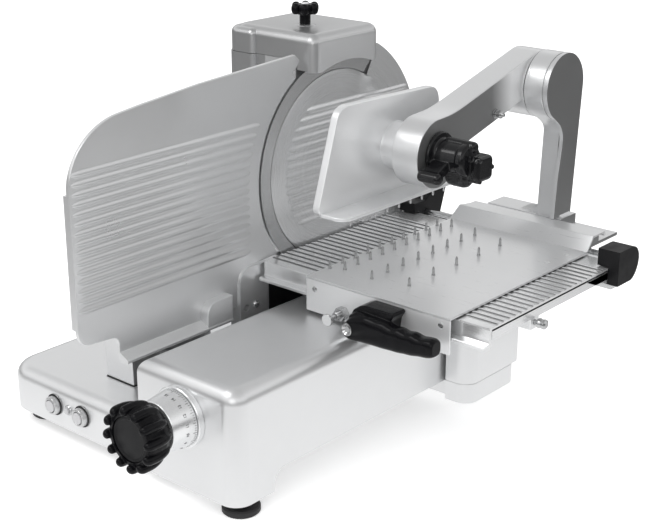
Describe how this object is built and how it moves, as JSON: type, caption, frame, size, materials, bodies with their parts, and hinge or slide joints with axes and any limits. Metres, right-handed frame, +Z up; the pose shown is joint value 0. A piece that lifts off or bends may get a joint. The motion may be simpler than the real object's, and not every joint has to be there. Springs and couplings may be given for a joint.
{
  "type": "vertical food slicer",
  "caption": "Motor-driven vertical slicer: round knife behind a ribbed gauge plate, hand-pushed carriage with spiked slide plate and swinging product holder.",
  "frame": {"origin": "centre of the footprint, at the bottom of the rubber feet", "axes": "+X from the machine's left (motor side) to the product table, +Y from the operator to the rear, +Z up"},
  "size_m": [0.661, 0.794, 0.568],
  "materials": {
    "castAluminium": "satin cast, lightly blasted",
    "darkSteel": "dark, as rolled",
    "rubber": "matt black",
    "palePlastic": "pale moulding",
    "blackPlastic": "glossy black moulding",
    "greenBoard": "circuit board",
    "chrome": "bright",
    "stoneGrey": "bonded abrasive, coarse",
    "polishedAluminium": "polished",
    "brushedSteel": "brushed",
    "bronze": "sintered bronze"
  },
  "bodies": {
    "base": {"low_base_casting": "castAluminium", "drive_box_casting": "castAluminium", "base_bottom_plate": "darkSteel", "foot_front_left": "rubber", "foot_front_right": "rubber", "foot_rear_left": "rubber", "foot_rear_right": "rubber", "indicator_lamp": "palePlastic", "switch_block": "blackPlastic", "control_board": "greenBoard", "cable_gland": "blackPlastic", "knife_housing": "castAluminium", "housing_screw": "chrome", "motor_cover": "castAluminium", "sharpener_cover": "castAluminium", "motor_stator": "darkSteel", "drive_belt": "rubber", "bearing_rear": "brushedSteel", "bearing_front": "brushedSteel", "knife_cover_plate": "castAluminium", "gauge_guide_rod_front": "brushedSteel", "gauge_guide_rod_rear": "brushedSteel", "dial_flange": "polishedAluminium", "carriage_guide_shaft": "brushedSteel"},
    "stop_switch": {"stop_button": "palePlastic"},
    "start_switch": {"start_button": "palePlastic"},
    "knife_set": {"knife": "brushedSteel", "knife_shaft": "brushedSteel", "knife_pulley": "polishedAluminium"},
    "motor_shaft": {"motor_rotor": "darkSteel"},
    "thickness_set": {"thickness_dial": "polishedAluminium", "thickness_knob": "blackPlastic", "dial_shaft": "brushedSteel", "thickness_cam": "brushedSteel"},
    "gauge": {"gauge_plate": "castAluminium", "gauge_carrier": "castAluminium", "gauge_drive_rod": "brushedSteel"},
    "sharpener_screw": {"sharpener_knob": "blackPlastic"},
    "stone_slide": {"stone_carrier": "darkSteel"},
    "grinding_wheel": {"grinding_stone": "stoneGrey"},
    "deburring_wheel": {"deburring_stone": "stoneGrey"},
    "carriage": {"carriage_arm": "castAluminium", "carriage_slider": "castAluminium", "slider_bushing": "bronze", "product_table": "polishedAluminium", "rear_guide_rod": "brushedSteel", "rod_bracket_left": "rubber", "rod_bracket_right": "rubber"},
    "roller": {"guide_roller": "darkSteel"},
    "table_lock": {"table_lock_knob": "chrome"},
    "slide": {"slide_plate": "brushedSteel", "front_plate": "brushedSteel", "push_handle": "blackPlastic", "handle_bolt": "chrome", "post": "castAluminium"},
    "plunger": {"index_plunger": "chrome"},
    "swing": {"swing_arm": "castAluminium", "grease_nipple": "chrome"},
    "pusher": {"pusher_plate": "castAluminium"},
    "grip": {"clamp_grip": "blackPlastic"}
  },
  "joints": [
    {"name": "stop_press", "type": "slide", "parent": "base", "child": "stop_switch", "axis": [0, 1, 0], "range_m": [0, 0.003], "stiffness_N_per_m": 400, "springref_m": -0.002},
    {"name": "start_press", "type": "slide", "parent": "base", "child": "start_switch", "axis": [0, 1, 0], "range_m": [0, 0.003], "stiffness_N_per_m": 400, "springref_m": -0.002},
    {"name": "knife_spin", "type": "hinge", "parent": "base", "child": "knife_set", "pos_m": [-0.0765, 0.1365, 0.3325], "axis": [1, 0, 0], "continuous": true},
    {"name": "motor_spin", "type": "hinge", "parent": "base", "child": "motor_shaft", "pos_m": [-0.1765, 0.1365, 0.157], "axis": [1, 0, 0], "continuous": true},
    {"name": "thickness_turn", "type": "hinge", "parent": "base", "child": "thickness_set", "pos_m": [0.0405, -0.301, 0.1192], "axis": [0, -1, 0], "range_deg": [0, 330]},
    {"name": "gauge_shift", "type": "slide", "parent": "base", "child": "gauge", "axis": [-1, 0, 0], "range_m": [0, 0.024]},
    {"name": "sharpener_turn", "type": "hinge", "parent": "base", "child": "sharpener_screw", "pos_m": [-0.1245, 0.12, 0.545], "axis": [0, 0, 1], "range_deg": [0, 720]},
    {"name": "stone_drop", "type": "slide", "parent": "base", "child": "stone_slide", "axis": [0, 0, -1], "range_m": [0, 0.01]},
    {"name": "grinding_spin", "type": "hinge", "parent": "stone_slide", "child": "grinding_wheel", "pos_m": [-0.0845, 0.1205, 0.514], "axis": [1, 0, 0], "continuous": true},
    {"name": "deburring_spin", "type": "hinge", "parent": "stone_slide", "child": "deburring_wheel", "pos_m": [-0.0715, 0.1525, 0.514], "axis": [1, 0, 0], "continuous": true},
    {"name": "carriage_travel", "type": "slide", "parent": "base", "child": "carriage", "axis": [0, -1, 0], "range_m": [0, 0.335]},
    {"name": "roller_spin", "type": "hinge", "parent": "carriage", "child": "roller", "pos_m": [0.0985, 0.184, 0.0692], "axis": [1, 0, 0], "range_deg": [-10, 2140]},
    {"name": "table_lock_pull", "type": "slide", "parent": "carriage", "child": "table_lock", "axis": [1, 0, 0], "range_m": [0, 0.008], "stiffness_N_per_m": 600, "springref_m": -0.003},
    {"name": "plate_shift", "type": "slide", "parent": "carriage", "child": "slide", "axis": [1, 0, 0], "range_m": [-0.058, 0.03]},
    {"name": "plunger_pull", "type": "slide", "parent": "slide", "child": "plunger", "axis": [0, -1, 0], "range_m": [0, 0.008], "stiffness_N_per_m": 600, "springref_m": -0.003},
    {"name": "arm_swing", "type": "hinge", "parent": "slide", "child": "swing", "pos_m": [0.1135, 0.347, 0.4495], "axis": [-1, 0, 0], "range_deg": [-10, 100]},
    {"name": "pusher_tilt", "type": "hinge", "parent": "swing", "child": "pusher", "pos_m": [0.0735, 0.099, 0.393], "axis": [1, 0, 0], "range_deg": [-30, 30]},
    {"name": "grip_turn", "type": "hinge", "parent": "swing", "child": "grip", "pos_m": [0.1635, 0.099, 0.393], "axis": [1, 0, 0], "range_deg": [0, 180]}
  ],
  "couplings": [
    {"joint": "motor_spin", "follows": "knife_spin", "ratio": 3.5294},
    {"joint": "thickness_turn", "follows": "gauge_shift", "rad_per_m": 239.98},
    {"joint": "sharpener_turn", "follows": "stone_drop", "rad_per_m": 1256.6},
    {"joint": "roller_spin", "follows": "carriage_travel", "rad_per_m": 111.11}
  ]
}
